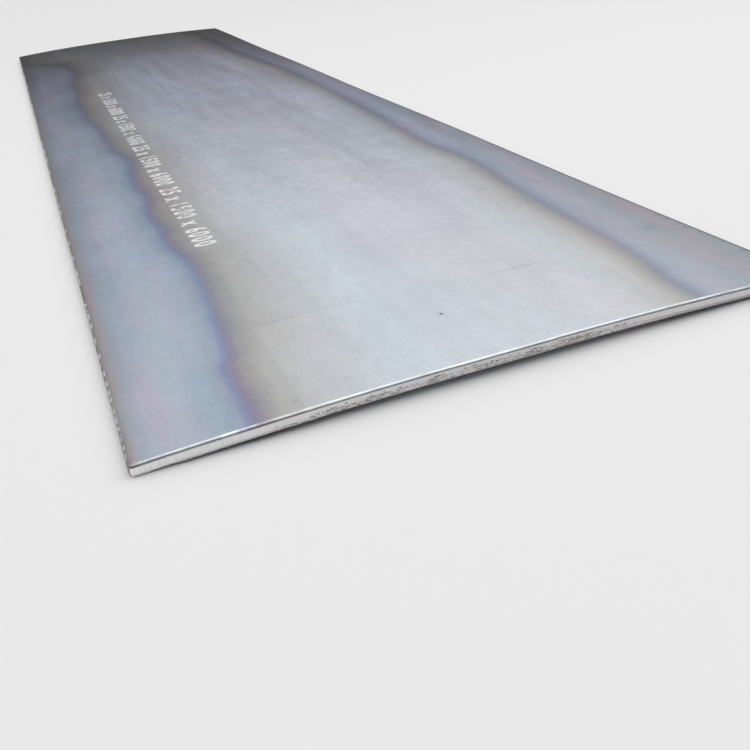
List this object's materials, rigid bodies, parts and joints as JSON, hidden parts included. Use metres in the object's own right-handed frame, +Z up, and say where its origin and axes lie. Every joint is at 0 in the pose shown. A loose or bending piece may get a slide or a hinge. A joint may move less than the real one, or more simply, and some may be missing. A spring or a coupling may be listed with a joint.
{
  "type": "steel plate",
  "caption": "Hot-rolled steel plate with sheared short ends and rolled mill edges, slightly bowed across its width, lying on its underside.",
  "frame": {"origin": "on the floor that the plate lies on, under its middle", "axes": "+Y along the rolling direction, away from the end with the shear step; +X across the plate; +Z up, out of the top face"},
  "size_m": [1.4998, 6, 0.043],
  "materials": {
    "mill_scale_steel": "grey mill scale with blue and bronze heat tint along both long sides, bright sheared ends"
  },
  "bodies": {
    "root": {"steel_plate": "mill_scale_steel"}
  },
  "joints": []
}
